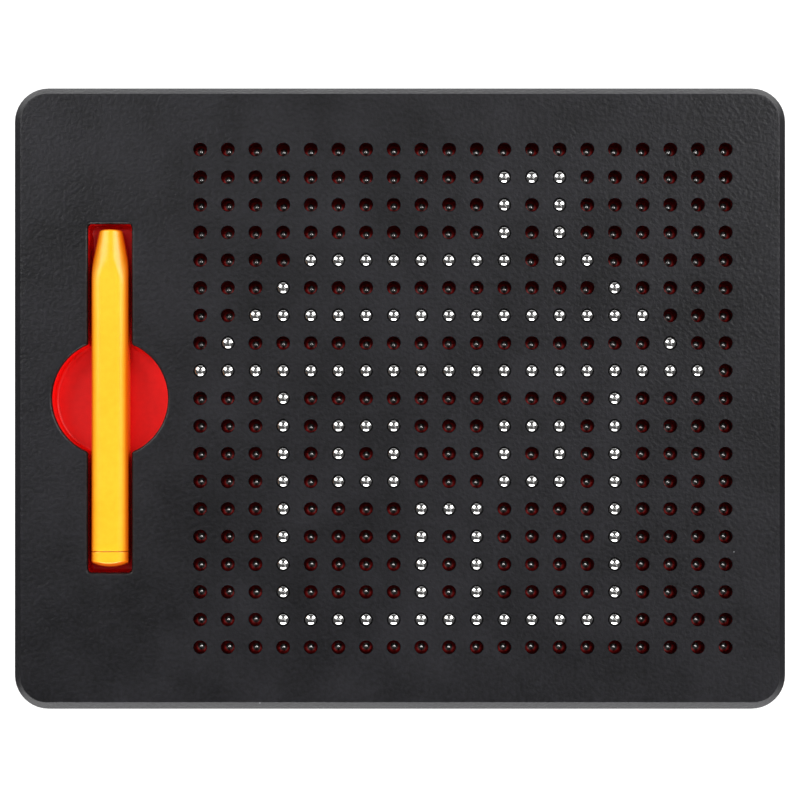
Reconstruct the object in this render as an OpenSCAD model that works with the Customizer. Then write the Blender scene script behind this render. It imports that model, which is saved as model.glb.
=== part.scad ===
// Magnetic ball drawing board: steel balls in a grid of cells are pulled up with a magnet stylus.
// Row frame: +X along the long side, +Y away from the ground line of the drawing, +Z out of the
// drawing face. The origin is on the surface that the feet stand on, below the board's centre.

/* [Case] */
// Overall width of the case, along X
board_w = 252; // [248:1:320]
// Overall height of the case, along Y
board_h = 203; // [199:1:260]
// Thickness of the case without its feet
board_t = 13; // [12.5:0.5:18]
// Outer corner radius
corner_r = 11; // [7:0.5:14]
// Width of the bevel around the face
bevel_w = 2.5; // [1:0.1:4]
// Depth of the bevel down the side
bevel_t = 3.5; // [1:0.1:5]
// Thickness of the cover's side wall
wall = 2.6; // [2:0.1:4]
// Thickness of the cover's face
face_t = 1.8; // [1.6:0.1:2.4]
// Thickness of the back cover
back_t = 2; // [1.6:0.1:3]

/* [Cells] */
// Number of cells along X
cols = 20; // [20:1:20]
// Number of cells along Y
rows = 19; // [19:1:19]
// Distance from cell to cell
pitch = 9; // [8:0.1:9.2]
// How far the middle of the grid lies towards +X
grid_x = 20.45; // [19:0.05:24]
// Diameter of a steel ball
ball_d = 4.76; // [4:0.01:5.8]
// Height of a raised ball above the face
ball_proud = 0.7; // [0.3:0.1:1]
// Depth of a cell's floor below the face
cell_depth = 8.9; // [8:0.1:9.4]
// Border of the cell block around the outermost cells
cell_border = 3.1; // [2:0.1:5]

/* [Fits] */
// How much narrower than the ball the hole in the face is
throat_less = 0.46; // [0.3:0.02:0.6]
// Width of the chamfer around each hole
hole_chamfer = 0.225; // [0.1:0.025:0.4]
// Gap between a ball at its stop and what stops it
ball_gap = 0.12; // [0.08:0.01:0.2]
// How far a lowered ball lies towards -Y in its cell
ball_drift = 0.3; // [0:0.02:0.4]
// How far a lowered ball may lie from that place
ball_scatter = 0.26; // [0:0.02:0.3]
// Gap between the back cover and the side wall
back_gap = 0.15; // [0.1:0.05:0.4]
// Gap between layers that are not glued together
layer_gap = 0.05; // [0.02:0.01:0.2]
// Gap between a screw and its hole
screw_gap = 0.1; // [0.05:0.05:0.3]

/* [Magnet sheet] */
// Thickness of the flexible magnet sheet
sheet_t = 0.8; // [0.5:0.1:1.2]
// Border of the sheet around the outermost cells
sheet_border = 4.2; // [2:0.1:5]
// Gap between the sheet and the tray's wall
sheet_gap = 0.3; // [0.2:0.05:1]

/* [Stylus tray] */
// Place of the tray's middle line, along X
tray_x = -94.5; // [-96:0.5:-92]
// Gap between the stylus and each side of the slot
slot_side_gap = 1.2; // [0.8:0.05:2]
// Gap between the stylus and each end of the slot
slot_end_gap = 1.75; // [1.2:0.05:4]
// Corner radius of the slot
slot_r = 1.2; // [0.5:0.1:3]
// Radius of the round finger recess
finger_r = 18.9; // [16:0.1:23]
// Depth of the tray's floor below the face
tray_depth = 9.4; // [8:0.1:9.8]
// Wall thickness of the tray
tray_wall = 1.6; // [1.2:0.1:2]
// Step from the cover's opening out to the tray's wall
tray_step = 0.15; // [0.05:0.05:0.3]
// Thickness of the web that joins the tray to the cell block
web_t = 1.15; // [1:0.05:2]
// Distance of the web's edge from the end of the case
web_in = 10; // [6:0.5:11]

/* [Stylus] */
// Length of the stylus
pen_l = 110; // [90:1:132]
// Width of the stylus across its flats
pen_w = 11.9; // [10:0.1:14.5]
// Diameter of the flat end of the tip
tip_d = 7.8; // [6:0.1:9]
// Length of the tapered tip
tip_l = 13; // [8:0.5:20]
// Radius of the tip's rim
tip_rim = 1; // [0.4:0.1:1.5]
// Bore of the barrel
barrel_bore = 7; // [6:0.1:8]
// Length of the end plug's head
plug_head = 5.2; // [4:0.1:8]
// Length of the end plug's stem
plug_stem = 7; // [5:0.5:10]
// Height of the dome on the end plug
plug_dome = 1.6; // [0.8:0.1:2.5]
// Diameter of the magnet in the tip
magnet_d = 5; // [4:0.1:6]
// Length of the magnet in the tip
magnet_l = 6; // [4:0.5:10]
// Thickness of the plastic in front of the magnet
magnet_skin = 0.8; // [0.5:0.1:1.5]

/* [Screws and feet] */
// Number of screws along each long side
screws = 4; // [4:1:4]
// Shank diameter of a case screw
screw_d = 2.8; // [2.5:0.1:3]
// Head diameter of a case screw
screw_head_d = 5.4; // [5:0.1:6]
// Head height of a case screw
screw_head_t = 1.4; // [1:0.1:1.5]
// Length of a screw's shank
screw_l = 8; // [6:0.5:8]
// Diameter of a screw boss
boss_d = 7; // [6:0.1:7.6]
// Distance from a boss to the end of the side
boss_in_x = 14; // [12:0.5:16]
// Distance from a boss to the side
boss_in_y = 8.2; // [7:0.1:8.6]
// Diameter of a rubber foot
foot_d = 10; // [8:0.5:14]
// Height of a foot below the case
foot_proud = 1; // [0.8:0.1:2]
// Depth of a foot's seat in the back cover
foot_seat = 0.8; // [0.5:0.1:1]
// Distance from a foot to the sides of the case
foot_in = 26; // [22:1:40]

/* [Hidden] */
$fn = 64;
EPS = 0.01;                       // overshoot of a cut past the face that it opens
case_z = foot_proud;              // underside of the case
face_z = case_z + board_t;        // drawing face
cover_z = face_z - face_t;        // underside of the face
sheet_z = cover_z - sheet_t;      // underside of the magnet sheet
cells_top = sheet_z - layer_gap;  // top of the cell block
cells_z = case_z + back_t;        // underside of the cell plate
cell_floor = face_z - cell_depth; // floor of every cell
ball_r = ball_d / 2;
throat_r = ball_r - throat_less / 2;

// Heights of a ball's centre: raised, lowered, and the highest that a scattered ball reaches
up_z = face_z + ball_proud - ball_r;
down_z = cell_floor + ball_r + ball_gap;
throat_z = up_z + edge_rise(throat_r);  // lower edge of the throat, which stops the ball
late_up_z = throat_z - edge_rise(throat_r - ball_scatter);

// Radii that let a ball pass off centre
cell_r = ball_r + ball_drift + ball_scatter + ball_gap + 0.02;
pass_r = ball_r + ball_scatter + 1.5 * ball_gap + 0.02;
sheet_hole_r = pass_r + 0.1;

// Stylus tray and its tub below the face
tray_z = face_z - tray_depth;
slot_w = pen_w + 2 * slot_side_gap;
slot_l = pen_l + 2 * slot_end_gap;
web_z = cells_top - web_t;
block_x0 = grid_x - (cols - 1) / 2 * pitch - cell_r - cell_border;
block_x1 = grid_x + (cols - 1) / 2 * pitch + cell_r + cell_border;
block_y = (rows - 1) / 2 * pitch + cell_r + cell_border;

// Stylus axis, lying along Y in the tray
pen_z = tray_z + ball_gap + pen_w / 2;
pen_tip_y = pen_l / 2;
magnet_y = pen_tip_y - magnet_skin - magnet_l;
pen_point_r = pen_w / 2 / cos(180 / 8);  // octagon's corner radius

boss_xs = [for (i = [0:screws - 1])
    (i / (screws - 1) - 0.5) * (board_w - 2 * boss_in_x)];
boss_y = board_h / 2 - boss_in_y;

// Strokes of the drawing, each from [column, row] to [column, row], row 1 at the top
HOUSE = [
    [[12, 2], [14, 2]], [[12, 2], [12, 5]], [[14, 2], [14, 5]],                      // chimney
    [[5, 5], [12, 5]], [[14, 5], [15, 5]], [[3, 7], [17, 7]], [[1, 9], [19, 9]],     // roof
    [[5, 5], [1, 9]], [[15, 5], [19, 9]],                                            // gables
    [[4, 9], [4, 18]], [[16, 9], [16, 18]], [[4, 18], [16, 18]],                     // walls
    [[6, 11], [8, 11]], [[6, 13], [8, 13]], [[6, 11], [6, 13]], [[8, 11], [8, 13]],  // window
    [[12, 11], [14, 11]], [[12, 13], [14, 13]], [[12, 11], [12, 13]], [[14, 11], [14, 13]],
    [[9, 14], [11, 14]], [[9, 14], [9, 18]], [[11, 14], [11, 18]],                   // door
];

// How far above a ball's centre an edge of this radius stops it, with the gap kept
function edge_rise(edge_r) = sqrt(pow(ball_r + ball_gap, 2) - edge_r * edge_r);

function on_stroke(c, r, s) =
    let (a = s[0], b = s[1])
    (b.x - a.x) * (r - a.y) == (b.y - a.y) * (c - a.x)
    && c >= min(a.x, b.x) && c <= max(a.x, b.x)
    && r >= min(a.y, b.y) && r <= max(a.y, b.y);
function raised(c, r) = len([for (s = HOUSE) if (on_stroke(c, r, s)) 1]) > 0;
function up_cols(r) = [for (c = [1:cols]) if (raised(c, r)) c];
function down_cols(r) = [for (c = [1:cols]) if (!raised(c, r)) c];
function cell_x(c) = grid_x + (c - (cols + 1) / 2) * pitch;
function cell_y(r) = ((rows + 1) / 2 - r) * pitch;

// Where a lowered ball lies from its place, spread by the golden angle
function spread(c, r) =
    let (n = c * 31 + r * 17, part = n * 0.618034 - floor(n * 0.618034))
    ball_scatter * sqrt(part) * [cos(n * 137.508), sin(n * 137.508)];

function row_name(r, state) = str("row_", r < 10 ? "0" : "", r, "_balls_", state);
UP_ROWS = [for (r = [1:rows]) if (len(up_cols(r)) > 0) r];
DOWN_ROWS = [for (r = [1:rows]) if (len(down_cols(r)) > 0) r];

module at_cells() {
    for (c = [1:cols], r = [1:rows])
        translate([cell_x(c), cell_y(r), 0]) children();
}

module at_bosses() {
    for (x = boss_xs, side = [-1, 1])
        translate([x, side * boss_y, 0]) children();
}

module at_feet() {
    for (sx = [-1, 1], sy = [-1, 1])
        translate([sx * (board_w / 2 - foot_in), sy * (board_h / 2 - foot_in), 0]) children();
}

// Flat rectangle with round corners, centred
module rounded(w, h, r) {
    square([w - 2 * r, h], center = true);
    square([w, h - 2 * r], center = true);
    for (sx = [-1, 1], sy = [-1, 1])
        translate([sx * (w / 2 - r), sy * (h / 2 - r)]) circle(r = r);
}

// Outline of the tray, this much outside its clear opening
module tray_outline(out) {
    translate([tray_x, 0]) {
        rounded(slot_w + 2 * out, slot_l + 2 * out, slot_r + out);
        circle(r = finger_r + out);
    }
}

// Half section of the case's side, from its middle out, with the bevel at the top
module side_section(half) {
    polygon([[-half, 0], [half, 0], [half, board_t - bevel_t], [half - bevel_w, board_t],
             [-half + bevel_w, board_t], [-half, board_t - bevel_t]]);
}

// Solid outer form of the case: straight sides crossed, with a cone at each corner
module case_form() {
    corner_x = board_w / 2 - corner_r;
    corner_y = board_h / 2 - corner_r;
    rotate([90, 0, 0]) linear_extrude(2 * corner_y, center = true) side_section(board_w / 2);
    rotate([90, 0, 90]) linear_extrude(2 * corner_x, center = true) side_section(board_h / 2);
    for (sx = [-1, 1], sy = [-1, 1]) translate([sx * corner_x, sy * corner_y, 0]) {
        cylinder(r = corner_r, h = board_t - bevel_t);
        translate([0, 0, board_t - bevel_t])
            cylinder(r1 = corner_r, r2 = corner_r - bevel_w, h = bevel_t);
    }
}

// One hole in the face: chamfer, throat that keeps the ball in, and the seat below it
module face_hole() {
    chamfer_z = face_z - hole_chamfer;
    rotate_extrude() polygon([
        [0, cover_z - EPS], [pass_r, cover_z - EPS], [pass_r, throat_z - (pass_r - throat_r)],
        [throat_r, throat_z], [throat_r, chamfer_z], [throat_r + hole_chamfer, face_z],
        [throat_r + hole_chamfer, face_z + 1], [0, face_z + 1]]);
}

module top_cover() color([0.17, 0.17, 0.19]) {
    difference() {
        translate([0, 0, case_z]) case_form();
        difference() {
            translate([0, 0, case_z - 1]) linear_extrude(cover_z - case_z + 1)
                rounded(board_w - 2 * wall, board_h - 2 * wall, corner_r - wall);
            at_bosses() translate([0, 0, cells_z]) cylinder(d = boss_d, h = board_t);
        }
        at_bosses() translate([0, 0, cells_z - 1])
            cylinder(d = screw_d + screw_gap, h = screw_l + 1 + screw_gap);
        translate([0, 0, cover_z - 1]) linear_extrude(face_t + 2) tray_outline(0);
        at_cells() face_hole();
    }
}

module magnet_sheet() color([0.24, 0.19, 0.17])
    translate([0, 0, sheet_z]) linear_extrude(sheet_t) difference() {
        translate([block_x0 + cell_border - sheet_border, -block_y + cell_border - sheet_border])
            square([block_x1 - block_x0 + 2 * (sheet_border - cell_border),
                    2 * (block_y + sheet_border - cell_border)]);
        at_cells() circle(r = sheet_hole_r);
        tray_outline(tray_step + tray_wall + sheet_gap);
    }

module cell_plate() color([0.85, 0.1, 0.09]) {
    difference() {
        union() {
            translate([block_x0, -block_y, cells_z])
                cube([block_x1 - block_x0, 2 * block_y, cells_top - cells_z]);
            translate([-board_w / 2 + web_in, -block_y, web_z])
                cube([block_x0 + board_w / 2 - web_in + 1, 2 * block_y, web_t]);
            translate([0, 0, cells_z]) linear_extrude(cover_z - layer_gap - cells_z)
                tray_outline(tray_step + tray_wall);
        }
        translate([0, 0, tray_z]) linear_extrude(tray_depth) tray_outline(tray_step);
        at_cells() translate([0, 0, cell_floor]) cylinder(r = cell_r, h = cell_depth);
    }
}

module back_cover() color([0.16, 0.16, 0.17])
    difference() {
        inset = 2 * (wall + back_gap);
        translate([0, 0, case_z]) linear_extrude(back_t)
            rounded(board_w - inset, board_h - inset, corner_r - inset / 2);
        at_bosses() translate([0, 0, case_z - 1]) {
            cylinder(d = screw_d + screw_gap, h = back_t + 2);
            cylinder(d = screw_head_d + 2 * screw_gap, h = screw_head_t + 1);
        }
        at_feet() translate([0, 0, case_z - 1]) cylinder(d = foot_d + back_gap, h = foot_seat + 1);
    }

// Pan-head screw seen from below: head, shank with a point, and a cross recess
module case_screw() {
    slot = [screw_head_d * 0.55, 0.7, 0.7];
    difference() {
        union() {
            cylinder(d = screw_head_d, h = screw_head_t);
            cylinder(d = screw_d, h = screw_l);
        }
        for (a = [0, 90]) rotate(a) translate([-slot.x / 2, -slot.y / 2, -EPS]) cube(slot);
    }
}

module case_screws() color([0.6, 0.6, 0.62])
    at_bosses() translate([0, 0, case_z]) case_screw();

module rubber_feet() color([0.08, 0.08, 0.08])
    at_feet() {
        cylinder(d = foot_d, h = foot_proud + foot_seat);
    }

// Turned form of the stylus about its own axis, tip at the far end and wider than the bar behind it
module stylus_turned() {
    spare = 1;  // how far the form stands outside the bar's corners
    taper = (pen_point_r - tip_d / 2) / (tip_l - tip_rim);
    wide_r = pen_point_r + spare;
    rotate([-90, 0, 0]) rotate_extrude() polygon([
        [0, -pen_tip_y - spare], [wide_r, -pen_tip_y - spare],
        [wide_r, pen_tip_y - tip_l - spare / taper], [tip_d / 2, pen_tip_y - tip_rim],
        [tip_d / 2 - tip_rim, pen_tip_y], [0, pen_tip_y]]);
}

// Eight-sided bar along Y with a flat face up
module octagon_bar(y0, y1) {
    translate([0, y0, 0]) rotate([-90, 0, 0]) rotate(180 / 8)
        cylinder(r = pen_point_r, h = y1 - y0, $fn = 8);
}

module at_pen() {
    translate([tray_x, 0, pen_z]) children();
}

module stylus_barrel() color([0.98, 0.8, 0.15]) {
    plug_y = -pen_tip_y + plug_head;
    at_pen() difference() {
        intersection() {
            octagon_bar(plug_y, pen_tip_y + 1);
            stylus_turned();
        }
        translate([0, plug_y - 1, 0]) rotate([-90, 0, 0])
            cylinder(d = barrel_bore, h = pen_l - plug_head - tip_l);
        rotate([-90, 0, 0])
            cylinder(d = magnet_d + screw_gap, h = magnet_y + magnet_l + layer_gap);
    }
}

module stylus_magnet() color([0.75, 0.75, 0.77])
    at_pen() translate([0, magnet_y, 0]) rotate([-90, 0, 0]) cylinder(d = magnet_d, h = magnet_l);

module stylus_end_plug() color([0.98, 0.78, 0.14]) {
    plug_y = -pen_tip_y + plug_head - layer_gap;
    dome_r = (pow(pen_point_r, 2) + pow(plug_dome, 2)) / (2 * plug_dome);
    at_pen() {
        intersection() {
            octagon_bar(-pen_tip_y - 1, plug_y);
            translate([0, -pen_tip_y + dome_r, 0]) sphere(r = dome_r);
        }
        translate([0, plug_y - 1, 0]) rotate([-90, 0, 0])
            cylinder(d = barrel_bore - screw_gap, h = plug_stem + 1);
    }
}

module ball() {
    sphere(r = ball_r);
}

module balls_up(r) color([0.8, 0.8, 0.82])
    for (c = up_cols(r)) translate([cell_x(c), cell_y(r), up_z]) ball();

module balls_down(r) color([0.45, 0.45, 0.47])
    for (c = down_cols(r)) {
        off = spread(c, r);
        translate([cell_x(c) + off.x, cell_y(r) - ball_drift + off.y, down_z]) ball();
    }

top_cover();
magnet_sheet();
cell_plate();
back_cover();
case_screws();
rubber_feet();
stylus_barrel();
stylus_magnet();
stylus_end_plug();
for (r = UP_ROWS)
    balls_up(r);
for (r = DOWN_ROWS)
    balls_down(r);
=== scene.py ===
"""Studio picture of the magnetic ball drawing board, built over its CAD frame."""

import math
import random

import bmesh
import bpy
import numpy as np
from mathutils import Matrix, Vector, noise
from mathutils.geometry import delaunay_2d_cdt


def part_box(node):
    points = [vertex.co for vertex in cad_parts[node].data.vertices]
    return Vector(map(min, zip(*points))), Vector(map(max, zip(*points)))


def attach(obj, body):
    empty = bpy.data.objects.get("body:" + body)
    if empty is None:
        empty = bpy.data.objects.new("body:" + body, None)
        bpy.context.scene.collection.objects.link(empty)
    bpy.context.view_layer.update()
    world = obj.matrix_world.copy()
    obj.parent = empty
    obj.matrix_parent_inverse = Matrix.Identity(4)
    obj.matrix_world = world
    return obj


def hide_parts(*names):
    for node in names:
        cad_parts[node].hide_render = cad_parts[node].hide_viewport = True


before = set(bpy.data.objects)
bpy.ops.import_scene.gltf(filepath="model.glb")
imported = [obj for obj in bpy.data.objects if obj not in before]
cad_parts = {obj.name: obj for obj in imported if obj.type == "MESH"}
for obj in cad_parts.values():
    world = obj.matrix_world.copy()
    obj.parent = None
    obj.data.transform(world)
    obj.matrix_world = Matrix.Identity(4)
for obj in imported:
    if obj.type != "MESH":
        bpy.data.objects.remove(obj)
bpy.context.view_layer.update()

MM = 0.001
COLS, ROWS, PITCH = 20, 19, 9.0
TILE_SIDE = 8  # points along one side of a cell's square
RING = 4 * TILE_SIDE


def box_mm(node):
    """Lowest and highest corner of a CAD node in millimetres."""
    low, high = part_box(node)
    return low / MM, high / MM


cover_low, cover_high = box_mm("top_cover")
sheet_low, sheet_high = box_mm("magnet_sheet")
plate_low, plate_high = box_mm("cell_plate")
pen_low, pen_high = box_mm("stylus_barrel")
plug_low, plug_high = box_mm("stylus_end_plug")
foot_low, foot_high = box_mm("rubber_feet")

FACE_Z = cover_high.z
UNDER_Z = sheet_high.z  # underside of the face
GRID_X = (sheet_low.x + sheet_high.x) / 2
HALF_W, HALF_H = cover_high.x, cover_high.y
CORNER_R = 11.0
CORNER_X, CORNER_Y = HALF_W - CORNER_R, HALF_H - CORNER_R
PEN_X = (pen_low.x + pen_high.x) / 2
PEN_Z = (pen_low.z + pen_high.z) / 2
PEN_W = pen_high.x - pen_low.x

CELLS = [
    (GRID_X + (c - (COLS - 1) / 2) * PITCH, (r - (ROWS - 1) / 2) * PITCH)
    for r in range(ROWS)
    for c in range(COLS)
]


# ---------------------------------------------------------------- forms


def within(spots, loop):
    """Which of the flat spots lie inside the loop."""
    inside = np.zeros(len(spots), bool)
    x, y = spots[:, 0], spots[:, 1]
    for (ax, ay), (bx, by) in zip(loop, loop[1:] + loop[:1]):
        if ay != by:
            crosses = (ay > y) != (by > y)
            inside ^= crosses & (x < ax + (bx - ax) * (y - ay) / (by - ay))
    return inside


class Form:
    """Points in millimetres and the faces between them, made into one closed mesh."""

    def __init__(self):
        self.points, self.faces, self.finish = [], [], {}

    def ring(self, points):
        first = len(self.points)
        self.points.extend(points)
        return list(range(first, first + len(points)))

    def bridge(self, a, b):
        n = len(a)
        for i in range(n):
            j = (i + 1) % n
            self.faces.append((a[i], a[j], b[j], b[i]))

    def sweep(self, rings):
        """Joins each ring of points to the next one, and returns the first and last."""
        made = [self.ring(r) for r in rings]
        for a, b in zip(made, made[1:]):
            self.bridge(a, b)
        return made[0], made[-1]

    def fill(self, outer, holes, extra, z):
        """Triangles inside the outer flat loop and outside the holes, with extra points inside."""
        loops = [outer, *holes]
        coords, edges = [], []
        for loop in loops:
            first, n = len(coords), len(loop)
            coords.extend(Vector((p[0], p[1])) for p in loop)
            edges.extend((first + i, first + (i + 1) % n) for i in range(n))
        coords.extend(Vector(p) for p in extra)
        flat, _, tris, *_ = delaunay_2d_cdt(coords, edges, [], 0, 1e-5)
        base = self.ring([(p.x, p.y, z(p.x, p.y)) for p in flat])
        spots = np.array([[(flat[i].x, flat[i].y) for i in t] for t in tris]).mean(axis=1)
        kept = within(spots, outer)
        for hole in holes:
            kept &= ~within(spots, hole)
        for t, good in zip(tris, kept):
            if good:
                self.faces.append(tuple(base[i] for i in t))

    def build(self, name, sharp=38.0, weld=0.002):
        mesh = bpy.data.meshes.new(name)
        mesh.from_pydata([Vector(p) * MM for p in self.points], [], self.faces)
        for index, faces in self.finish.items():
            for i in faces:
                mesh.polygons[i].material_index = index
        bm = bmesh.new()
        bm.from_mesh(mesh)
        bmesh.ops.remove_doubles(bm, verts=bm.verts, dist=weld * MM)
        loose = [v for v in bm.verts if not v.link_faces]
        bmesh.ops.delete(bm, geom=loose, context="VERTS")
        bmesh.ops.recalc_face_normals(bm, faces=bm.faces)
        limit = math.radians(sharp)
        for f in bm.faces:
            f.smooth = True
        for e in bm.edges:
            e.smooth = len(e.link_faces) == 2 and e.calc_face_angle(0.0) < limit
        bm.to_mesh(mesh)
        bm.free()
        piece = bpy.data.objects.new(name, mesh)
        bpy.context.scene.collection.objects.link(piece)
        return piece


def soften(path, radii, steps=5):
    """The path with each inner corner rounded to its radius."""
    out = [path[0]]
    for i in range(1, len(path) - 1):
        here = Vector(path[i])
        r = radii[i]
        if r <= 0:
            out.append(tuple(here))
            continue
        u = (Vector(path[i - 1]) - here).normalized()
        v = (Vector(path[i + 1]) - here).normalized()
        half = u.angle(v) / 2
        centre = here + (u + v).normalized() * (r / math.sin(half))
        a = (here + u * (r / math.tan(half)) - centre).normalized()
        b = (here + v * (r / math.tan(half)) - centre).normalized()
        for k in range(steps + 1):
            out.append(tuple(centre + a.slerp(b, k / steps) * r))
    out.append(path[-1])
    return out


def arc(cx, cy, r, a0, a1, n):
    """n + 1 points of an arc, angles in degrees."""
    return [
        (
            cx + r * math.cos(math.radians(a0 + (a1 - a0) * k / n)),
            cy + r * math.sin(math.radians(a0 + (a1 - a0) * k / n)),
        )
        for k in range(n + 1)
    ]


def along(a, b, n):
    """n - 1 points strictly between a and b."""
    return [
        (a[0] + (b[0] - a[0]) * k / n, a[1] + (b[1] - a[1]) * k / n) for k in range(1, n)
    ]


def case_ring(r, corner=10, long=120, short=96):
    """Rounded rectangle about the case's corner centres."""
    points = []
    for (x, y), a in zip(
        ((CORNER_X, CORNER_Y), (-CORNER_X, CORNER_Y), (-CORNER_X, -CORNER_Y), (CORNER_X, -CORNER_Y)),
        (0, 90, 180, 270),
    ):
        here = arc(x, y, r, a, a + 90, corner)
        if points:
            points.extend(along(points[-1], here[0], long if a in (90, 270) else short))
        points.extend(here)
    points.extend(along(points[-1], points[0], short))
    return points


def tray_ring(out, slot_w=14.3, slot_l=113.5, slot_r=1.2, finger_r=18.9, joint_r=1.0):
    """Outline of the stylus tray, out millimetres outside its clear opening."""
    hw, hl, cr = slot_w / 2 + out, slot_l / 2 + out, max(slot_r + out, 0.1)
    big, jr = finger_r + out, max(joint_r - out, 0.05)
    joint_y = math.sqrt((big + jr) ** 2 - (hw + jr) ** 2)
    turn = math.degrees(math.atan2(joint_y, hw + jr))
    quarter = []  # from the +X side of the round recess up to the +Y end's corner
    quarter += arc(0, 0, big, 0, turn, 30)
    quarter += arc(hw + jr, joint_y, jr, turn + 180, 180, 5)[1:]
    quarter += along(quarter[-1], (hw, hl - cr), 34)
    quarter += arc(hw - cr, hl - cr, cr, 0, 90, 6)
    half = quarter + along(quarter[-1], (-hw + cr, hl), 8) + [(-x, y) for x, y in reversed(quarter)]
    whole = half + [(x, -y) for x, y in reversed(half[1:-1])]
    return [(PEN_X + x, y) for x, y in whole]


def lift(points, z):
    return [(x, y, z) for x, y in points]


def square_ring():
    """Points of a cell's square, evenly spaced, starting at +X."""
    h = PITCH / 2
    points = []
    for k in range(RING):
        side, step = divmod(k + TILE_SIDE // 2, TILE_SIDE)
        s = -h + 2 * h * step / TILE_SIDE
        points.append([(h, s), (-s, h), (-h, -s), (s, -h)][side % 4])
    return points


def circle_ring(r):
    return arc(0, 0, r, 0, 360, RING)[:-1]


SQUARE = square_ring()


def grid_edge():
    """Outline of all the cells' squares, with the same points as the squares have."""
    w, h, s = COLS * PITCH / 2, ROWS * PITCH / 2, PITCH / TILE_SIDE
    corners = [(w, -h), (w, h), (-w, h), (-w, -h)]
    points = []
    for i, a in enumerate(corners):
        b = corners[(i + 1) % 4]
        n = round(math.dist(a, b) / s)
        points.append(a)
        points.extend(along(a, b, n))
    return [(GRID_X + x, y) for x, y in points]


def tiles(form, profile, spread, z):
    """A turned profile of (radius, height) in every cell, joined out to the cell's square by
    spread steps. z(x, y) is how far the surface stands off there."""
    first_r, first_z = profile[0]
    rim = circle_ring(first_r)
    for cx, cy in CELLS:
        rings = []
        for k in range(spread + 1):
            t = 1 - k / spread
            flat = [
                (cx + a[0] * t + b[0] * (1 - t), cy + a[1] * t + b[1] * (1 - t))
                for a, b in zip(SQUARE, rim)
            ]
            rings.append([(x, y, first_z + z(x, y)) for x, y in flat])
        for r, h in profile[1:]:
            rings.append(
                [(cx + x, cy + y, h + z(cx + x, cy + y)) for x, y in circle_ring(r)]
            )
        yield form.sweep(rings)[1]


def inside_grid(x, y, out=0.0):
    return abs(x - GRID_X) < COLS * PITCH / 2 + out and abs(y) < ROWS * PITCH / 2 + out


def lattice(step, outer, hole=None, grid_gap=None):
    """Evenly spread points with a little disorder, inside the outer loop and off the rest."""
    rng = random.Random(7)
    points = []
    nx, ny = int(HALF_W / step) + 1, int(HALF_H / step) + 1
    for i in range(-nx, nx + 1):
        for j in range(-ny, ny + 1):
            x = (i + 0.5 * (j % 2)) * step + rng.uniform(-0.1, 0.1) * step
            y = j * step + rng.uniform(-0.1, 0.1) * step
            if grid_gap is None or not inside_grid(x, y, grid_gap):
                points.append((x, y))
    spots = np.array(points)
    kept = within(spots, outer)
    if hole:
        kept &= ~within(spots, hole)
    return [p for p, good in zip(points, kept) if good]


# ---------------------------------------------------------------- top cover

BOSSES = [(x, y) for x in (-112.0, -112 / 3, 112 / 3, 112.0) for y in (-93.3, 93.3)]
BEVEL_W, BEVEL_T, WALL = 2.5, 3.5, 2.6
EDGE_R = 0.55  # rounding of the bevel's two edges
TRAY_EDGE = 0.9  # rounding of the tray opening's edge


def face_height(x, y):
    """How far the face lies below its highest level: sink near the holes and slow waves."""
    wave = noise.noise(Vector((x / 21, y / 21, 3.1))) + 0.5 * noise.noise(Vector((x / 8, y / 8, 9.7)))
    h = -0.014 - 0.009 * wave
    if inside_grid(x, y):
        u = math.cos(2 * math.pi * (x - GRID_X) / PITCH)
        v = -math.cos(2 * math.pi * y / PITCH)
        near = min(1, (COLS * PITCH / 2 - abs(x - GRID_X)) / 4, (ROWS * PITCH / 2 - abs(y)) / 4)
        h -= 0.010 * near * (1 + u * v)
    return min(0.0, h)


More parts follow.
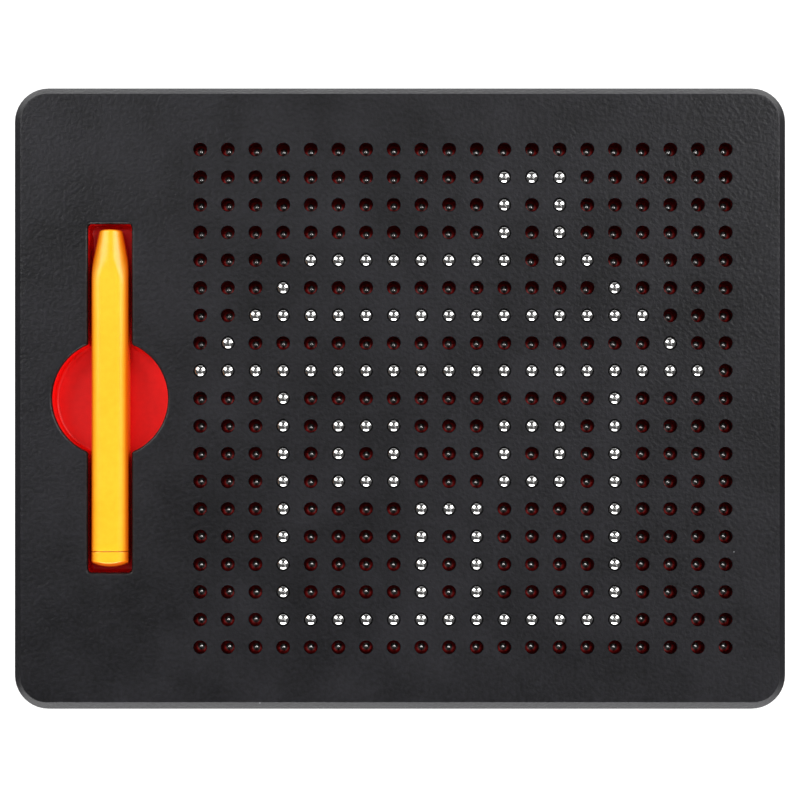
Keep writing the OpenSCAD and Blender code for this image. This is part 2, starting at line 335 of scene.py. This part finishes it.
def make_top_cover():
    form = Form()
    throat, bore = 2.15, 2.84
    rim = soften(
        [(throat + 0.45, FACE_Z), (throat + 0.19, FACE_Z), (throat, 13.62)], (0, 0.05, 0), 3
    )
    profile = rim + [
        (throat + 0.02, 13.56),
        (bore, 12.906),
        (bore, 12.55),
        (bore, UNDER_Z),
    ]
    first_r = profile[0][0]
    start = circle_ring(first_r)
    for cx, cy in CELLS:
        rings = []
        for k in range(5):
            t = 1 - k / 4
            flat = [
                (cx + a[0] * t + b[0] * (1 - t), cy + a[1] * t + b[1] * (1 - t))
                for a, b in zip(SQUARE, start)
            ]
            rings.append([(x, y, FACE_Z + face_height(x, y)) for x, y in flat])
        for i, (r, h) in enumerate(profile[1:]):
            keep = 1.0 if i < len(rim) - 1 else 0.0
            rings.append(
                [
                    (cx + x, cy + y, h + keep * face_height(cx + x, cy + y))
                    for x, y in circle_ring(r)
                ]
            )
        for k in (0.5, 1.0):
            rings.append(
                [
                    (cx + a[0] * k + b[0] * (1 - k), cy + a[1] * k + b[1] * (1 - k), UNDER_Z)
                    for a, b in zip(SQUARE, circle_ring(bore))
                ]
            )
        form.sweep(rings)

    # Case edge: rounded bevel, skirt, foot of the wall, and the inner wall
    inner_r = CORNER_R - WALL
    side = soften(
        [
            (CORNER_R - BEVEL_W - 1.2, FACE_Z - 0.012),
            (CORNER_R - BEVEL_W, FACE_Z - 0.012),
            (CORNER_R, FACE_Z - BEVEL_T),
            (CORNER_R, cover_low.z),
            (inner_r, cover_low.z),
            (inner_r, cover_low.z + 2),
        ],
        (0, EDGE_R, EDGE_R * 1.6, 0.35, 0.25, 0),
        6,
    )
    top_r = side[0][0]
    rings = [[(x, y, FACE_Z + face_height(x, y)) for x, y in case_ring(top_r)]]
    rings += [lift(case_ring(r), z) for r, z in side[1:]] + [lift(case_ring(inner_r), UNDER_Z)]
    form.sweep(rings)

    # Tray opening
    lip = soften(
        [(TRAY_EDGE + 0.5, FACE_Z - 0.012), (0, FACE_Z - 0.012), (0, UNDER_Z)], (0, TRAY_EDGE, 0), 7
    )
    rings = [[(x, y, FACE_Z + face_height(x, y)) for x, y in tray_ring(lip[0][0])]]
    rings += [lift(tray_ring(out), z) for out, z in lip[1:]]
    form.sweep(rings)

    form.fill(
        case_ring(top_r),
        [tray_ring(lip[0][0]), grid_edge()],
        lattice(1.7, case_ring(top_r - 1), tray_ring(lip[0][0] + 0.9), 0.9),
        lambda x, y: FACE_Z + face_height(x, y),
    )

    # Underside with the screw bosses
    bosses = []
    for bx, by in BOSSES:
        ring = [(bx + x, by + y) for x, y in arc(0, 0, 3.5, 0, 360, 32)[:-1]]
        bosses.append(ring)
        rings = [lift(ring, UNDER_Z), lift(ring, plate_low.z + 0.3)]
        rings.append([(bx + x, by + y, plate_low.z) for x, y in arc(0, 0, 3.2, 0, 360, 32)[:-1]])
        for r, z in ((1.45, plate_low.z), (1.45, 11.1)):
            rings.append([(bx + x, by + y, z) for x, y in arc(0, 0, r, 0, 360, 32)[:-1]])
        form.faces.append(tuple(form.sweep(rings)[1]))
    form.fill(case_ring(inner_r), [tray_ring(0), grid_edge(), *bosses], [], lambda x, y: UNDER_Z)
    return form.build("cover_shell")


# ---------------------------------------------------------------- cell plate


def make_cell_plate():
    form = Form()
    top = sheet_low.z - 0.05
    web = top - 1.15
    floor_z = FACE_Z - 8.9
    well = 3.08
    x0 = GRID_X - (COLS - 1) / 2 * PITCH - well - 3.1
    x1, y1, web_x0 = plate_high.x, plate_high.y, plate_low.x
    profile = soften(
        [(well + 0.5, top), (well, top), (well, floor_z), (0.3, floor_z)], (0, 0.15, 0.5, 0), 4
    )
    for last in tiles(form, profile, 2, lambda x, y: 0.0):
        form.faces.append(tuple(last))
    # The wells' faces take the second finish, the red with painted shade and light.
    form.finish[1] = range(len(form.faces))

    # Tub of the stylus tray
    tub_top, tub_out, tub_in = UNDER_Z - 0.05, 1.75, 0.15
    floor = FACE_Z - 9.4
    path = soften(
        [
            (tub_out, web),
            (tub_out, plate_low.z),
        ],
        (0, 0),
    )
    form.sweep([lift(tray_ring(out), z) for out, z in path])
    inside = soften(
        [(tub_out, top), (tub_out, tub_top), (tub_in, tub_top), (tub_in, floor), (tub_in - 1.6, floor)],
        (0, 0.2, 0.2, 1.1, 0),
        6,
    )
    form.sweep([lift(tray_ring(out), z) for out, z in inside])
    form.fill(
        tray_ring(tub_in - 1.6), [], lattice(2.0, tray_ring(tub_in - 2.6)), lambda x, y: floor
    )
    form.fill(tray_ring(tub_out), [], [], lambda x, y: plate_low.z)

    # Top, web and the block's sides
    outer = [(web_x0, -y1), (x0, -y1), (x1, -y1), (x1, y1), (x0, y1), (web_x0, y1)]
    form.fill(outer, [grid_edge(), tray_ring(tub_out)], [], lambda x, y: top)
    form.fill(
        [(web_x0, -y1), (x0, -y1), (x0, y1), (web_x0, y1)],
        [tray_ring(tub_out)],
        [],
        lambda x, y: web,
    )
    high = form.ring(lift(outer, top))
    low = form.ring(lift([outer[0], outer[1], outer[4], outer[5]], web))
    base = form.ring(lift([outer[1], outer[2], outer[3], outer[4]], plate_low.z))
    form.faces += [
        (high[0], high[1], low[1], low[0]),
        (high[5], high[0], low[0], low[3]),
        (high[4], high[5], low[3], low[2]),
        (low[1], high[1], high[2], base[1], base[0]),
        (high[2], high[3], base[2], base[1]),
        (low[2], high[4], high[3], base[2], base[3]),
        (low[1], low[2], base[3], base[0]),
        tuple(base),
    ]
    return form.build("cell_block")


# ---------------------------------------------------------------- stylus

PEN_SEGMENTS = 96


def pen_outline(flat, side_r):
    """Distances from the middle to the stylus's outline: four flats joined by round shoulders."""
    half = flat * math.tan(math.radians(22.5))
    distances = []
    for i in range(PEN_SEGMENTS):
        a = 2 * math.pi * i / PEN_SEGMENTS
        u, v = abs(math.cos(a)), abs(math.sin(a))
        u, v = max(u, v), min(u, v)
        if v / u <= half / flat:
            distances.append(flat / u)
            continue
        # shoulder: circle about (c, c) that meets both flats
        c = flat - side_r
        b = c * (u + v)
        distances.append(b + math.sqrt(b * b - 2 * c * c + side_r * side_r))
    return distances


def smooth_min(a, b, k):
    h = max(k - abs(a - b), 0) / k
    return min(a, b) - h * h * k / 4


SHOULDER_R = 3.5
PEN_OUTLINE = pen_outline(PEN_W / 2, SHOULDER_R)
PEN_CORNER = PEN_W / 2 / math.cos(math.radians(22.5))


def pen_ring(y, inset, cap, blend=0.5):
    """Ring of the stylus's outline, inset from the flats and cut to a round of radius cap."""
    points = []
    for i, d in enumerate(PEN_OUTLINE):
        a = 2 * math.pi * i / PEN_SEGMENTS
        r = smooth_min(d - inset, cap, blend)
        points.append((PEN_X + r * math.cos(a), y, PEN_Z + r * math.sin(a)))
    return points


def round_ring(y, r):
    return [
        (
            PEN_X + r * math.cos(2 * math.pi * i / PEN_SEGMENTS),
            y,
            PEN_Z + r * math.sin(2 * math.pi * i / PEN_SEGMENTS),
        )
        for i in range(PEN_SEGMENTS)
    ]


def make_barrel():
    form = Form()
    tip_y, tail_y = pen_high.y, pen_low.y
    tip_r, rim, taper_l = 3.9, 1.0, 13.0
    slope = (PEN_CORNER - tip_r) / (taper_l - rim)
    wide = PEN_CORNER + 2
    rings = [pen_ring(tail_y, 0.25, wide), pen_ring(tail_y + 0.1, 0.08, wide)]
    rings.append(pen_ring(tail_y + 0.28, 0, wide))
    n = 34
    for k in range(1, n + 1):
        y = tail_y + 0.28 + (tip_y - taper_l - 4 - tail_y) * k / n
        rings.append(pen_ring(y, 0, wide))
    start = tip_y - taper_l - 3.5
    n = 30
    for k in range(n + 1):
        y = start + (tip_y - rim - start) * k / n
        rings.append(pen_ring(y, 0, tip_r + (tip_y - rim - y) * slope))
    for k in range(1, 9):
        a = math.radians(90 * k / 8)
        cap = tip_r - rim * (1 - math.cos(a))
        rings.append(pen_ring(tip_y - rim + rim * math.sin(a), 0, cap, 0.1))
    rings.append(round_ring(tip_y - 0.01, 1.6))
    rings.append(round_ring(tip_y - 0.03, 0.4))
    form.faces.append(tuple(form.sweep(rings)[1]))
    bore_r, magnet_r = 3.5, 2.55
    bore_end, magnet_end = tip_y - taper_l - 1, tip_y - 0.75
    bore = [rings[0], round_ring(tail_y, bore_r), round_ring(bore_end, bore_r)]
    bore += [round_ring(bore_end, magnet_r), round_ring(magnet_end, magnet_r)]
    form.faces.append(tuple(form.sweep(bore)[1]))
    return form.build("stylus_body", sharp=50)


def make_plug():
    form = Form()
    dome, end_y = 1.6, plug_low.y
    seam_y = pen_low.y - 0.05
    dome_r = (PEN_CORNER**2 + dome**2) / (2 * dome)
    rings = [round_ring(plug_high.y, 3.05), round_ring(plug_high.y - 0.4, 3.45)]
    rings.append(round_ring(seam_y, 3.45))
    rings += [pen_ring(seam_y, 0.25, 9), pen_ring(seam_y - 0.1, 0.08, 9)]
    rings.append(pen_ring(seam_y - 0.28, 0, 9))
    n = 40
    for k in range(1, n):
        t = k / n
        y = seam_y - 0.28 + (end_y - seam_y + 0.28) * (1 - (1 - t) ** 2.2)
        d = y - end_y
        cap = math.sqrt(max(dome_r**2 - (dome_r - d) ** 2, 0))
        rings.append(pen_ring(y, 0, cap, 0.9))
    rings.append(round_ring(end_y + 0.002, 0.15))
    first, last = form.sweep(rings)
    form.faces.append(tuple(first))
    form.faces.append(tuple(last))
    return form.build("stylus_end", sharp=50)


def make_feet():
    form = Form()
    for sx in (-1, 1):
        for sy in (-1, 1):
            cx, cy = sx * (HALF_W - 26), sy * (HALF_H - 26)
            path = soften(
                [
                    (0.4, 0.12),
                    (2.6, 0.12),
                    (3.1, foot_low.z),
                    (5, foot_low.z),
                    (5, foot_high.z),
                    (0.4, foot_high.z),
                ],
                (0, 0.3, 0.4, 0.45, 0.1, 0),
                4,
            )
            rings = [[(cx + x, cy + y, z) for x, y in arc(0, 0, r, 0, 360, 48)[:-1]] for r, z in path]
            first, last = form.sweep(rings)
            form.faces += [tuple(first), tuple(last)]
    return form.build("feet_turned")


# ---------------------------------------------------------------- finishes


def finish_nodes(name):
    mat = bpy.data.materials.new(name)
    mat.use_nodes = True
    nodes, links = mat.node_tree.nodes, mat.node_tree.links
    return mat, nodes, links, nodes["Principled BSDF"]


def textured(
    name,
    dark,
    light,
    rough,
    grain=400.0,
    grain_bump=0.0,
    broad=30.0,
    broad_bump=0.0,
    metallic=0.0,
    specular=0.5,
    extra=None,
):
    """Finish whose colour wanders between two tones and whose roughness and relief have grain."""
    mat, nodes, links, shader = finish_nodes(name)
    coords = nodes.new("ShaderNodeTexCoord")

    def noise_map(scale, detail):
        n = nodes.new("ShaderNodeTexNoise")
        n.inputs["Scale"].default_value = scale
        n.inputs["Detail"].default_value = detail
        links.new(coords.outputs["Object"], n.inputs["Vector"])
        return n

    fine, slow = noise_map(grain, 3.0), noise_map(broad, 2.0)
    both = nodes.new("ShaderNodeMath")
    both.operation = "MULTIPLY_ADD"
    both.inputs[1].default_value = 0.6
    links.new(fine.outputs["Fac"], both.inputs[0])
    part = nodes.new("ShaderNodeMath")
    part.operation = "MULTIPLY"
    part.inputs[1].default_value = 0.4
    links.new(slow.outputs["Fac"], part.inputs[0])
    links.new(part.outputs[0], both.inputs[2])
    tone = nodes.new("ShaderNodeValToRGB")
    tone.color_ramp.elements[0].position = 0.36
    tone.color_ramp.elements[1].position = 0.64
    tone.color_ramp.elements[0].color = (*dark, 1)
    tone.color_ramp.elements[1].color = (*light, 1)
    links.new(both.outputs[0], tone.inputs["Fac"])
    links.new(tone.outputs["Color"], shader.inputs["Base Color"])
    span = nodes.new("ShaderNodeMapRange")
    span.inputs["From Min"].default_value = 0.3
    span.inputs["From Max"].default_value = 0.7
    span.inputs["To Min"].default_value = rough[0]
    span.inputs["To Max"].default_value = rough[1]
    links.new(slow.outputs["Fac"], span.inputs["Value"])
    links.new(span.outputs["Result"], shader.inputs["Roughness"])
    shader.inputs["Metallic"].default_value = metallic
    shader.inputs["Specular IOR Level"].default_value = specular
    last = None
    for source, height in ((slow, broad_bump), (fine, grain_bump)):
        if height:
            bump = nodes.new("ShaderNodeBump")
            bump.inputs["Strength"].default_value = 1.0
            bump.inputs["Distance"].default_value = height * MM
            links.new(source.outputs["Fac"], bump.inputs["Height"])
            if last:
                links.new(last.outputs["Normal"], bump.inputs["Normal"])
            last = bump
    if last:
        links.new(last.outputs["Normal"], shader.inputs["Normal"])
    if extra:
        extra(nodes, links, shader, coords, tone)
    return mat


def dust(nodes, links, shader, coords, tone):
    """Sparse pale specks of dust over the finish."""
    cells = nodes.new("ShaderNodeTexVoronoi")
    cells.inputs["Scale"].default_value = 110.0
    links.new(coords.outputs["Object"], cells.inputs["Vector"])
    near = nodes.new("ShaderNodeMath")
    near.operation = "LESS_THAN"
    near.inputs[1].default_value = 0.028
    links.new(cells.outputs["Distance"], near.inputs[0])
    pick = nodes.new("ShaderNodeSeparateColor")
    links.new(cells.outputs["Color"], pick.inputs["Color"])
    few = nodes.new("ShaderNodeMath")
    few.operation = "GREATER_THAN"
    few.inputs[1].default_value = 0.93
    links.new(pick.outputs["Red"], few.inputs[0])
    amount = nodes.new("ShaderNodeMath")
    amount.operation = "MULTIPLY"
    links.new(near.outputs[0], amount.inputs[0])
    links.new(few.outputs[0], amount.inputs[1])
    mix = nodes.new("ShaderNodeMix")
    mix.data_type = "RGBA"
    mix.inputs["B"].default_value = (0.16, 0.16, 0.17, 1)
    links.new(amount.outputs[0], mix.inputs["Factor"])
    links.new(tone.outputs["Color"], mix.inputs["A"])
    links.new(mix.outputs["Result"], shader.inputs["Base Color"])


def blend_along_z(nodes, links, shader, source, tone, low, high, low_colour):
    """Base colour that goes from low_colour to the tone as the source's Z goes from low to high."""
    split = nodes.new("ShaderNodeSeparateXYZ")
    links.new(source, split.inputs["Vector"])
    span = nodes.new("ShaderNodeMapRange")
    span.interpolation_type = "SMOOTHSTEP"
    span.inputs["From Min"].default_value = low
    span.inputs["From Max"].default_value = high
    links.new(split.outputs["Z"], span.inputs["Value"])
    mix = nodes.new("ShaderNodeMix")
    mix.data_type = "RGBA"
    mix.inputs["A"].default_value = (*low_colour, 1)
    links.new(span.outputs["Result"], mix.inputs["Factor"])
    links.new(tone.outputs["Color"], mix.inputs["B"])
    links.new(mix.outputs["Result"], shader.inputs["Base Color"])


def painted_side_shade(nodes, links, shader, coords, tone):
    """Painted shade: a deeper orange where the surface turns away from the top, standing in for the
    shade on the stylus's rounded sides.
    """
    normal = coords.outputs["Normal"]
    blend_along_z(nodes, links, shader, normal, tone, 0.35, 1.0, (0.60, 0.125, 0.003))


def painted_well_shade_and_light(nodes, links, shader, coords, tone):
    """Painted shade and light in a cell's wall: dark red at the mouth as shade, going by height to full
    red towards its floor as light.
    """
    place = coords.outputs["Object"]
    full_red = (0.62, 0.016, 0.013)
    blend_along_z(nodes, links, shader, place, tone, 9.8 * MM, 11.2 * MM, full_red)



FINISHES = {
    "cover_plastic": textured(
        "cover_finish", (0.0012, 0.0011, 0.0022), (0.0105, 0.0099, 0.0138), (0.42, 0.52),
        grain=800, grain_bump=0.2, broad=45, broad_bump=0.02, extra=dust,
    ),
    # Wells of the cell plate: a dark copy of the red plastic, painted shade at the mouth, with full red
    # painted towards the floor as light.
    "cell_red": textured(
        "cell_painted_shade_finish", (0.10, 0.004, 0.004), (0.13, 0.005, 0.005), (0.45, 0.55),
        grain=600, grain_bump=0.012, broad=60, broad_bump=0.02, extra=painted_well_shade_and_light,
    ),
    "back_plastic": textured(
        "back_finish", (0.012, 0.012, 0.013), (0.022, 0.022, 0.024), (0.5, 0.62),
        grain=1100, grain_bump=0.05, broad=30, broad_bump=0.03,
    ),
    "red_plastic": textured(
        "red_finish", (0.90, 0.0080, 0.0065), (0.96, 0.0105, 0.0085), (0.32, 0.42),
        grain=600, grain_bump=0.012, broad=60, broad_bump=0.02,
    ),
    # The stylus's yellow also gets a deeper orange painted on its sides as shade.
    "yellow_plastic": textured(
        "yellow_finish", (0.91, 0.440, 0.016), (0.96, 0.480, 0.022), (0.28, 0.36),
        grain=500, grain_bump=0.01, broad=70, broad_bump=0.02, extra=painted_side_shade,
    ),
    "magnet_sheet": textured(
        "sheet_finish", (0.05, 0.032, 0.026), (0.085, 0.055, 0.045), (0.55, 0.7),
        grain=900, grain_bump=0.04, broad=80, broad_bump=0.03,
    ),
    "steel": textured(
        "steel_finish", (0.62, 0.61, 0.60), (0.74, 0.735, 0.73), (0.06, 0.12),
        grain=900, grain_bump=0.002, broad=160, broad_bump=0.004, metallic=1.0,
    ),
    "magnet_metal": textured(
        "magnet_finish", (0.55, 0.54, 0.52), (0.7, 0.69, 0.67), (0.25, 0.35),
        grain=700, grain_bump=0.01, broad=90, broad_bump=0.01, metallic=1.0,
    ),
    "screw_steel": textured(
        "screw_finish", (0.36, 0.36, 0.37), (0.52, 0.52, 0.53), (0.28, 0.4),
        grain=900, grain_bump=0.01, broad=150, broad_bump=0.01, metallic=1.0,
    ),
    "foot_rubber": textured(
        "rubber_finish", (0.012, 0.012, 0.012), (0.026, 0.026, 0.026), (0.7, 0.85),
        grain=1000, grain_bump=0.05, broad=90, broad_bump=0.03,
    ),
}


def dress(piece, *slots):
    indices = [f.material_index for f in piece.data.polygons]
    piece.data.materials.clear()
    for slot in slots:
        piece.data.materials.append(FINISHES[slot])
    piece.data.polygons.foreach_set("material_index", indices)


for make, body, nodes, slot in (
    (make_top_cover, "case", ("top_cover",), "cover_plastic"),
    (make_cell_plate, "case", ("cell_plate",), "red_plastic"),
    (make_feet, "case", ("rubber_feet",), "foot_rubber"),
    (make_barrel, "stylus", ("stylus_barrel",), "yellow_plastic"),
    (make_plug, "stylus", ("stylus_end_plug",), "yellow_plastic"),
):
    piece = make()
    # The cell plate's wells get the red with painted shade and light as their second finish.
    dress(piece, slot, *(["cell_red"] if make is make_cell_plate else []))
    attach(piece, body)
    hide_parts(*nodes)

for name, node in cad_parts.items():
    slot = node.data.materials[0].name.split(".")[0] if node.data.materials else None
    if slot in FINISHES:
        node.data.materials[0] = FINISHES[slot]


# ---------------------------------------------------------------- stage

FOOT_Y = -21.4  # where the camera's line of sight meets the board
CAMERA_H = 650.0  # height of the camera above the face
FLOOR_GLOW = 1.7  # how brightly the floor beyond the long sides shows in the bevels
FLOOR_SIZE = 6.0  # half the floor's side, in metres


def make_floor():
    mesh = bpy.data.meshes.new("floor")
    s = FLOOR_SIZE
    mesh.from_pydata([(-s, -s, 0), (s, -s, 0), (s, s, 0), (-s, s, 0)], [], [(0, 1, 2, 3)])
    floor = bpy.data.objects.new("floor", mesh)
    bpy.context.scene.collection.objects.link(floor)
    mat, nodes, links, shader = finish_nodes("floor_paint")
    shader.inputs["Base Color"].default_value = (0.14, 0.14, 0.14, 1)
    shader.inputs["Roughness"].default_value = 0.9
    shader.inputs["Specular IOR Level"].default_value = 0.1
    path = nodes.new("ShaderNodeLightPath")
    coords = nodes.new("ShaderNodeTexCoord")
    split = nodes.new("ShaderNodeSeparateXYZ")
    links.new(coords.outputs["Object"], split.inputs["Vector"])
    far = nodes.new("ShaderNodeMath")
    far.operation = "ABSOLUTE"
    links.new(split.outputs["Y"], far.inputs[0])
    band = nodes.new("ShaderNodeMapRange")
    band.interpolation_type = "SMOOTHSTEP"
    band.inputs["From Min"].default_value = 100 * MM
    band.inputs["From Max"].default_value = 112 * MM
    band.inputs["To Max"].default_value = FLOOR_GLOW
    links.new(far.outputs[0], band.inputs["Value"])
    strength = nodes.new("ShaderNodeMix")
    strength.inputs["B"].default_value = 1.0
    links.new(path.outputs["Is Camera Ray"], strength.inputs["Factor"])
    links.new(band.outputs["Result"], strength.inputs["A"])
    links.new(strength.outputs["Result"], shader.inputs["Emission Strength"])
    shader.inputs["Emission Color"].default_value = (0.9, 0.9, 0.9, 1)
    mesh.materials.append(mat)


def softbox(name, azimuth, zenith, distance, width, height, power, colour=(1, 1, 1)):
    """Rectangular light aimed at the board. Azimuth is from +X towards +Y."""
    data = bpy.data.lights.new(name, "AREA")
    data.shape = "RECTANGLE"
    data.size, data.size_y = width, height
    data.energy = power
    data.color = colour
    light = bpy.data.objects.new(name, data)
    a, z = math.radians(azimuth), math.radians(zenith)
    away = Vector((math.cos(a) * math.sin(z), math.sin(a) * math.sin(z), math.cos(z)))
    light.location = away * distance
    light.rotation_mode = "QUATERNION"
    light.rotation_quaternion = away.to_track_quat("Z", "Y")
    bpy.context.scene.collection.objects.link(light)


def bar(name, a, b, height, width, radiance):
    """Long thin light hung level over the board, from a to b."""
    a, b = Vector((*a, height)), Vector((*b, height))
    data = bpy.data.lights.new(name, "AREA")
    data.shape = "RECTANGLE"
    data.size, data.size_y = (b - a).length, width
    data.energy = math.pi * radiance * data.size * width
    light = bpy.data.objects.new(name, data)
    light.location = (a + b) / 2
    light.rotation_euler = (0, 0, math.atan2(b.y - a.y, b.x - a.x))
    bpy.context.scene.collection.objects.link(light)


make_floor()
softbox("box_bottom", 270, 72, 1.25, 1.6, 0.68, 19)
softbox("box_left", 146, 54, 1.25, 0.84, 0.98, 10.4)
softbox("box_right", 34, 54, 1.25, 0.84, 0.98, 13.5)
softbox("strip_top", 90, 87, 1.3, 1.2, 0.2, 0.9)
bar("bar_left", (0.03, 0.36), (-1.25, -0.36), 1.6, 0.2, 0.9)
bar("bar_right", (0.03, 0.36), (1.3, -0.95), 1.6, 0.2, 1.5)

world = bpy.data.worlds.new("studio")
world.use_nodes = True
world.node_tree.nodes["Background"].inputs["Color"].default_value = (1, 1, 1, 1)
world.node_tree.nodes["Background"].inputs["Strength"].default_value = 0.13
bpy.context.scene.world = world

lens = bpy.data.cameras.new("camera")
lens.sensor_width = 36
lens.lens = 89.9
lens.shift_y = 0.08
camera = bpy.data.objects.new("camera", lens)
camera.location = (0, FOOT_Y * MM, (FACE_Z + CAMERA_H) * MM)
bpy.context.scene.collection.objects.link(camera)
bpy.context.scene.camera = camera

bpy.context.scene.view_settings.view_transform = "Standard"
bpy.context.scene.view_settings.look = "Medium High Contrast"
